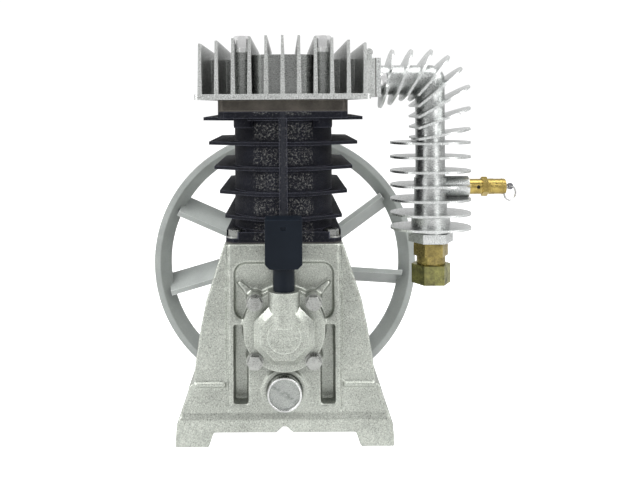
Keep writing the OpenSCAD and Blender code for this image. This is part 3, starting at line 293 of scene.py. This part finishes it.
def machined(name, colour, roughness, scratch=0.25, metal=1.0, stain=0.5):
    """Turned or ground metal: fine streaks, thumb marks and painted highlights along the edges."""
    f = Finish(name)
    streak = f.noise(900, 2.0, 0.5, f.stretched((1, 1, 6)))
    mark = f.noise(90, 4.0)
    tone = f.ramp(mark * 0.6 + streak * 0.4, (0.35, shade(colour, 1 - stain)), (0.62, colour))
    # Edges are lightened in the colour as a painted highlight.
    edge = f.edges(0.0004, 8.0)
    f.set(Base_Color=f.mix(edge * 0.7, tone, shade(colour, 1.4)), Metallic=metal,
          Roughness=(roughness + (mark - 0.5) * 0.3 + (streak - 0.5) * scratch).held(),
          Normal=f.bump(streak, 0.08, 0.0002))
    return f.material


def rough_iron(name):
    """Black painted casting: bare grains, painted glints on the barrels' faces, painted edge
    highlights.
    """
    f = Finish(name, Specular_IOR_Level=0.13)
    up = f.node("ShaderNodeSeparateXYZ", {}, f.place(), out="Z")
    rib = f.within("X", BLOCK_RIB)
    row = f.node("ShaderNodeMath", {"operation": "PINGPONG"}, up - TOP_FIN_Z, FIN_STEP / 2)
    sand = f.noise(620, 5.0, 0.8)
    grit = f.cells(1300)
    patch = f.noise(45, 3.0)
    # Painted glint: where the barrels face forward, between the fins and off the rib, the grains are
    # brightened as a painted highlight; elsewhere only a few bare grains show.
    on_barrel = (1.0 - rib) * f.within("X", BARREL_FACE) \
        * ((row - FIN_STEP * FIN_ROOT) * (1 / MASK_FADE) + patch).held()
    high = ((sand - 0.50) * 9.0).held() * (0.10 + on_barrel * 0.75)
    speck_cells = ((grit - 0.30) * 5.0).held()
    # Edges are lightened in the colour as a painted highlight.
    edge = f.edges(0.0007)
    paint = f.ramp(patch, (0.35, (0.002, 0.0025, 0.006)), (0.65, (0.006, 0.007, 0.013)))
    base = f.mix(rib * (sand * 1.2).held(), paint, (0.030, 0.032, 0.040))
    grains = f.mix((high * speck_cells).held(), base, (0.20, 0.20, 0.19))
    f.set(Base_Color=f.mix((edge * 0.8 * (0.5 + sand)).held(), grains, (0.13, 0.135, 0.17)),
          Roughness=(0.55 + (sand - 0.5) * 0.5).held(), Metallic=0.0,
          Normal=f.bump(sand * 0.7 + grit * 0.4, 0.9, 0.0011))
    return f.material


def wheel_paint(name):
    """Grey-green paint over a cast wheel: orange peel, painted corner shade, rubbed edges with
    painted highlights.
    """
    f = Finish(name)
    peel = f.noise(700, 3.0, 0.5)
    patch = f.noise(30, 4.0)
    base = f.ramp(patch * 0.7 + peel * 0.3, (0.35, (0.31, 0.33, 0.32)), (0.65, (0.41, 0.435, 0.42)))
    # Edges are lightened in the colour: partly rubbed wear, partly a painted highlight.
    edge = f.edges(0.0012) * (0.5 + peel)
    # Painted shade: the hollows are darkened in the colour.
    hollow = (f.recesses(0.02) * 1.2).held()
    f.set(Base_Color=f.mix(hollow * 0.45, f.mix(edge.held() * 0.6, base, (0.82, 0.84, 0.82)),
                           (0.10, 0.11, 0.11)),
          Metallic=0.25, Roughness=(0.42 + (peel - 0.5) * 0.35).held(),
          Normal=f.bump(peel, 0.25, 0.0005))
    return f.material


def brass(name, colour, dark, wear, roughness=0.24):
    """Brass that has dulled unevenly, with darker marks pressed into it."""
    f = Finish(name)
    cloud = f.noise(110, 4.0, 0.6)
    pits = f.noise(900, 4.0, 0.7)
    stain = ((cloud * 0.7 + pits * 0.3 - 0.5) * 3.5 + wear).held()
    # Edges are lightened in the colour as a painted highlight.
    edge = f.edges(0.0005, 8.0)
    tone = f.mix(stain, colour, dark)
    f.set(Base_Color=f.mix(edge * 0.75, tone, shade(colour, 1.35)), Metallic=1.0,
          Roughness=(roughness + stain * 0.22 + (pits - 0.5) * 0.2).held(),
          Normal=f.bump(pits, 0.3, 0.0003))
    return f.material


def sheet_gasket(name, colour):
    """Pressed fibre sheet with an uneven cut edge."""
    f = Finish(name, Metallic=0.0)
    fibre = f.noise(1400, 3.0, 0.7, f.stretched((1, 1, 3)))
    f.set(Base_Color=f.ramp(fibre, (0.35, shade(colour, 0.6)), (0.65, shade(colour, 1.5))),
          Roughness=(0.75 + (fibre - 0.5) * 0.3).held(), Normal=f.bump(fibre, 0.5, 0.0004))
    return f.material


def oiled_plate(name):
    """Ground steel plate, browned with oil, with rubbed grinding lines."""
    f = Finish(name)
    lines = f.noise(700, 3.0, 0.6, f.stretched((1, 1, 9)))
    cloud = f.noise(60, 4.0)
    tone = f.ramp(lines * 0.4 + cloud * 0.6, (0.35, (0.026, 0.023, 0.020)),
                  (0.66, (0.105, 0.094, 0.080)))
    # Edges are lightened in the colour as a painted highlight.
    edge = f.edges(0.0006)
    f.set(Base_Color=f.mix(edge * 0.5, tone, (0.36, 0.33, 0.28)), Metallic=0.7,
          Roughness=(0.42 + (cloud - 0.5) * 0.4).held(), Normal=f.bump(lines, 0.25, 0.0003))
    return f.material


def moulded_plastic(name, colour):
    """Blue-black moulded plastic with a fine spark-eroded skin."""
    f = Finish(name, Specular_IOR_Level=0.14)
    skin = f.noise(2300, 2.0, 0.5)
    cloud = f.noise(70, 3.0)
    # Edges are lightened in the colour as a painted highlight.
    edge = f.edges(0.0006)
    f.set(Base_Color=f.mix(edge * 0.5, f.mix(cloud, shade(colour, 0.8), shade(colour, 1.25)),
                           shade(colour, 4.5)),
          Roughness=(0.40 + (cloud - 0.5) * 0.2 + (skin - 0.5) * 0.2).held(), Metallic=0.0,
          Normal=f.bump(skin, 0.2, 0.0002))
    return f.material


def seal_rubber(name):
    """Black nitrile with a faint bloom."""
    f = Finish(name, Metallic=0.0)
    bloom = f.noise(160, 4.0)
    f.set(Base_Color=f.mix(bloom, (0.012, 0.012, 0.012), (0.05, 0.05, 0.05)),
          Roughness=(0.55 + (bloom - 0.5) * 0.3).held(), Normal=f.bump(f.noise(1800), 0.15, 0.0002))
    return f.material


def reflector(name):
    """Grained disc behind the glass, with an oil film smeared across it."""
    f = Finish(name)
    across = f.node("ShaderNodeSeparateXYZ", {}, f.place(), out="X")
    up = f.node("ShaderNodeSeparateXYZ", {}, f.place(), out="Z")
    from_line = (up - GLASS_Z) * SMEAR[1] + across * SMEAR[0]
    from_line = from_line.math("ABSOLUTE", from_line)
    grain = f.noise(1500, 4.0, 0.8)
    blotch = f.noise(420, 3.0, 0.6)
    near = (1.0 - from_line * (1 / SMEAR_FADE)).held()
    film = ((blotch - 0.42) * 8.0).held() * near
    skin = f.ramp(grain, (0.34, (0.13, 0.14, 0.13)), (0.66, (0.50, 0.52, 0.49)))
    f.set(Base_Color=f.mix(film.held(), skin, (0.09, 0.10, 0.09)), Metallic=0.7,
          Roughness=(0.38 + (grain - 0.5) * 0.3).held(), Normal=f.bump(grain, 0.3, 0.0004))
    return f.material


def clear_glass(name):
    """Thin clear lens: mostly see-through, with gloss and faint smears."""
    f = Finish(name, Metallic=0.0, IOR=1.46)
    smear = f.noise(120, 4.0)
    f.set(Base_Color=(0.86, 0.90, 0.88, 1.0), Alpha=(0.10 + smear * 0.12).held(),
          Roughness=(0.05 + smear * 0.1).held())
    return f.material


def finishes():
    """Every finish, by the name of the slot it fills."""
    steel = (0.56, 0.56, 0.58)
    return {
        # Last numbers of each casting: painted edge highlight, painted shade in hollows, head's
        # fin-gap shade.
        "case_alloy": cast_alloy("speckled_case_casting", (0.41, 0.43, 0.39), 0.9, 0.12, 0.34,
                                 0.75, 1.7, 0.35),
        "head_alloy": cast_alloy("head_casting", (0.62, 0.635, 0.62), 1.1, 0.16, 0.28,
                                 0.85, 1.4, 0.12, FIN_GAP_SHADE),
        "elbow_alloy": cast_alloy("elbow_casting", (0.66, 0.68, 0.67), 1.1, 0.18, 0.27,
                                  0.85, 1.3, 0.3),
        "black_iron": rough_iron("black_rough_iron"),
        "wheel_paint": wheel_paint("grey_wheel_paint"),
        "gasket": sheet_gasket("fibre_gasket", (0.05, 0.045, 0.04)),
        "valve_plate": oiled_plate("oiled_valve_plate"),
        "zinc_screw": machined("zinc_plated_screw", (0.45, 0.46, 0.44), 0.28, 0.25, 1.0, 0.6),
        "bright_screw": machined("bright_plated_screw", (0.95, 0.95, 0.95), 0.11, 0.1, 0.75, 0.15),
        "bearing_steel": machined("ground_bearing_steel", steel, 0.2, 0.1),
        "spring_steel": machined("blued_spring_steel", (0.42, 0.42, 0.45), 0.3),
        "forged_steel": machined("forged_and_turned_steel", (0.38, 0.38, 0.39), 0.4),
        "piston_alloy": machined("piston_alloy_casting", (0.64, 0.64, 0.65), 0.38),
        "seal_rubber": seal_rubber("nitrile_seal"),
        "sight_bezel": machined("turned_bezel", (0.74, 0.75, 0.74), 0.25),
        "sight_reflector": reflector("grained_reflector"),
        "sight_lens": clear_glass("sight_glass"),
        "brass": brass("fitting_brass", (0.40, 0.32, 0.11), (0.12, 0.095, 0.045), 0.4, 0.2),
        "nut_brass": brass("dull_nut_brass", (0.35, 0.34, 0.12), (0.10, 0.095, 0.055), 0.5,
                           0.24),
        "valve_brass": brass("yellow_valve_brass", (0.50, 0.38, 0.12), (0.22, 0.16, 0.055), 0.35,
                             0.15),
        "ring_wire": machined("plated_ring_wire", (0.72, 0.72, 0.71), 0.18),
        "black_plastic": moulded_plastic("breather_plastic", (0.005, 0.008, 0.013)),
    }


def dress(materials):
    slots = {p["node"]: p["material_slot"] for p in frame["record"]["subparts"]}
    for name, node in NODES.items():
        node.data.materials.clear()
        node.data.materials.append(materials[slots[name]])


# --- Rounded edges ---------------------------------------------------------------------------

# Radius in millimetres of each node's edges.
ROUNDED = {
    "front_bearing_cover": 0.8, "rear_bearing_housing": 1.0, "cylinder_head": 0.5,
    "exhaust_elbow": 0.45, "cylinder_block": 0.5, "flywheel": 1.0, "breather_body": 0.9,
    "breather_tube": 0.3, "sight_glass_bezel": 0.6, "sump_cover": 0.4, "valve_plate": 0.3,
    "head_bolts": 0.5, "front_cover_bolts": 0.4, "block_bolts": 0.4, "exhaust_bolts": 0.4,
    "rear_housing_bolts": 0.4, "sump_bolts": 0.3, "flywheel_bolt": 0.4, "oil_drain_plug": 0.4,
    "outlet_adapter": 0.5, "outlet_nut": 0.9, "safety_valve_body": 0.4, "safety_valve_cap": 0.6,
    "crankshaft": 0.5, "front_rod": 0.8, "rear_rod": 0.8, "front_piston": 0.4, "rear_piston": 0.4,
}
EDGE_ANGLE = 32                 # degrees; sharper edges are rounded
FLAT_ANGLE = 0.5                # degrees; faces that meet at less than this are joined first
WELD_GAP = 0.02 * MM


def modifier(node, name, kind, **settings):
    made = node.modifiers.new(name, kind)
    for key, value in settings.items():
        setattr(made, key, value)


def round_edges(name, width):
    node = NODES[name]
    modifier(node, "weld", "WELD", merge_threshold=WELD_GAP)
    modifier(node, "flat", "DECIMATE", decimate_type="DISSOLVE", angle_limit=math.radians(FLAT_ANGLE))
    modifier(node, "bevel", "BEVEL", width=width * MM, segments=2, limit_method="ANGLE",
             angle_limit=math.radians(EDGE_ANGLE), use_clamp_overlap=True, harden_normals=False)
    modifier(node, "normals", "WEIGHTED_NORMAL", keep_sharp=False)


def cast_skin(name, voxel, passes):
    """A casting's soft edges and fillets: a fine even mesh, smoothed a little."""
    node = NODES[name]
    modifier(node, "weld", "WELD", merge_threshold=WELD_GAP)
    modifier(node, "skin", "REMESH", mode="VOXEL", voxel_size=voxel * MM, use_smooth_shade=True)
    modifier(node, "soften", "SMOOTH", factor=0.5, iterations=passes)


# --- Turned and coiled pieces ----------------------------------------------------------------

def add_piece(name, mesh, body, slot_name, materials, stands_for=()):
    piece = bpy.data.objects.new(name, mesh)
    bpy.context.scene.collection.objects.link(piece)
    mesh.materials.append(materials[slot_name])
    for face in mesh.polygons:
        face.use_smooth = True
    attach(piece, body)
    if stands_for:
        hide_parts(*stands_for)


def wire_mesh(name, points, radius, sides=12):
    """A round wire swept along points, with a closed dome at each end."""
    mesh = bpy.data.meshes.new(name)
    bm = bmesh.new()
    rings = []
    side = None
    for index, point in enumerate(points):
        ahead = points[min(index + 1, len(points) - 1)] - points[max(index - 1, 0)]
        ahead.normalize()
        side = (side if side else Vector((0, 0, 1)).cross(ahead))
        side = (side - ahead * side.dot(ahead)).normalized()
        other = ahead.cross(side)
        rings.append([bm.verts.new(point + radius * (side * math.cos(a) + other * math.sin(a)))
                      for a in (2 * math.pi * k / sides for k in range(sides))])
    for ring, following in zip(rings, rings[1:]):
        for k in range(sides):
            bm.faces.new((ring[k], ring[(k + 1) % sides], following[(k + 1) % sides], following[k]))
    bm.faces.new(list(reversed(rings[0])))
    bm.faces.new(rings[-1])
    bmesh.ops.recalc_face_normals(bm, faces=bm.faces)
    bm.to_mesh(mesh)
    bm.free()
    return mesh


def turned_mesh(name, profile, axis_y, axis_z, sides=48):
    """A piece turned about a line along x; the profile is pairs of place and radius, in metres."""
    mesh = bpy.data.meshes.new(name)
    bm = bmesh.new()
    rings = []
    for x, radius in profile:
        rings.append([bm.verts.new((x, axis_y + radius * math.cos(a), axis_z + radius * math.sin(a)))
                      for a in (2 * math.pi * k / sides for k in range(sides))])
    for ring, following in zip(rings, rings[1:]):
        for k in range(sides):
            bm.faces.new((ring[k], following[k], following[(k + 1) % sides], ring[(k + 1) % sides]))
    bm.faces.new(rings[0])
    bm.faces.new(list(reversed(rings[-1])))
    bmesh.ops.recalc_face_normals(bm, faces=bm.faces)
    bm.to_mesh(mesh)
    bm.free()
    return mesh


def split_ring(materials):
    """Two turns of round wire lying side by side."""
    low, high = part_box("pull_ring")
    middle = (low + high) / 2
    radius = (high.z - low.z) / 2 - RING_WIRE
    along = Vector((math.cos(RING_TURN), math.sin(RING_TURN), 0))
    across = Vector((-math.sin(RING_TURN), math.cos(RING_TURN), 0))
    steps = 96
    points = []
    for k in range(steps + 1):
        angle = 2 * math.pi * RING_TURNS * k / steps
        offset = (k / steps - 0.5) * 2 * RING_WIRE
        points.append(middle + radius * (along * math.sin(angle) + Vector((0, 0, math.cos(angle))))
                      + across * offset)
    add_piece("split_pull_ring", wire_mesh("split_pull_ring", points, RING_WIRE), "valve_ring",
              "ring_wire", materials, ("pull_ring",))


def coil_spring(materials):
    """The safety valve's spring, a true helix round its stem."""
    low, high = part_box("safety_valve_spring")
    middle = (low + high) / 2
    radius = (high.z - low.z) / 2 - SPRING_WIRE
    length = high.x - low.x - 2 * SPRING_WIRE
    steps = SPRING_TURNS * 24
    points = []
    for k in range(steps + 1):
        angle = 2 * math.pi * SPRING_TURNS * k / steps
        points.append(Vector((low.x + SPRING_WIRE + length * k / steps,
                              middle.y + radius * math.cos(angle),
                              middle.z + radius * math.sin(angle))))
    add_piece("safety_valve_coil", wire_mesh("safety_valve_coil", points, SPRING_WIRE, 8),
              "valve_stem", "spring_steel", materials, ("safety_valve_spring",))


def valve_grooves(materials):
    """Fine turned rings round the safety valve's cap, where it is gripped to reset it."""
    low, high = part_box("safety_valve_cap")
    middle = (low + high) / 2
    radius = (high.z - low.z) / 2
    foot, top = radius - CAP_RING_SUNK, radius + CAP_RING_HEIGHT
    for index, share in enumerate(CAP_RINGS):
        x = low.x + (high.x - low.x) * share
        ring = [(x - CAP_RING_FOOT, foot), (x - CAP_RING_TOP, top),
                (x + CAP_RING_TOP, top), (x + CAP_RING_FOOT, foot)]
        name = f"safety_valve_cap_ring_{index + 1}"
        add_piece(name, turned_mesh(name, ring, middle.y, middle.z), "pump", "valve_brass",
                  materials)


# --- Room and light --------------------------------------------------------------------------

def studio():
    lowest = CAD_BOX[0][2]
    bpy.ops.mesh.primitive_plane_add(size=FLOOR_SIZE, location=(0, 0, lowest - FLOOR_GAP))
    floor = bpy.context.object
    floor.name = "floor"
    f = Finish("pale_floor", Roughness=0.9)
    seen = f.node("ShaderNodeLightPath", {}, out="Is Camera Ray")
    f.set(Base_Color=(0.80, 0.80, 0.80, 1), Emission_Color=f.mix(seen, (0, 0, 0), (1, 1, 1)),
          Emission_Strength=FLOOR_GLOW)
    floor.data.materials.append(f.material)
    sky()
    for lamp in LAMPS:
        area_light(*lamp)


def sky():
    """A white backdrop to look at; the pump itself is lit by grey walls, darker in front."""
    world = bpy.data.worlds.new("studio")
    bpy.context.scene.world = world
    world.use_nodes = True
    nodes, links = world.node_tree.nodes, world.node_tree.links
    towards = nodes.new("ShaderNodeTexCoord")
    parts = nodes.new("ShaderNodeSeparateXYZ")
    behind = nodes.new("ShaderNodeMapRange")
    behind.inputs["From Min"].default_value = 0.0
    behind.inputs["From Max"].default_value = BACK_WALL_FROM
    behind.inputs["To Min"].default_value = SIDE_WALLS
    behind.inputs["To Max"].default_value = BACK_WALL
    seen = nodes.new("ShaderNodeLightPath")
    level = nodes.new("ShaderNodeMix")
    level.inputs[3].default_value = BACKDROP
    links.new(towards.outputs["Generated"], parts.inputs[0])
    links.new(parts.outputs["Y"], behind.inputs["Value"])
    links.new(seen.outputs["Is Camera Ray"], level.inputs[0])
    links.new(behind.outputs[0], level.inputs[2])
    background = nodes["Background"]
    background.inputs[0].default_value = (1, 1, 1, 1)
    links.new(level.outputs[0], background.inputs[1])


bpy.context.scene.view_settings.view_transform = "Standard"
place_camera()
studio()
materials = finishes()
dress(materials)
split_ring(materials)
coil_spring(materials)
valve_grooves(materials)
for rounded_node, edge_radius in ROUNDED.items():
    round_edges(rounded_node, edge_radius)
cast_skin("crankcase", 0.9, 3)
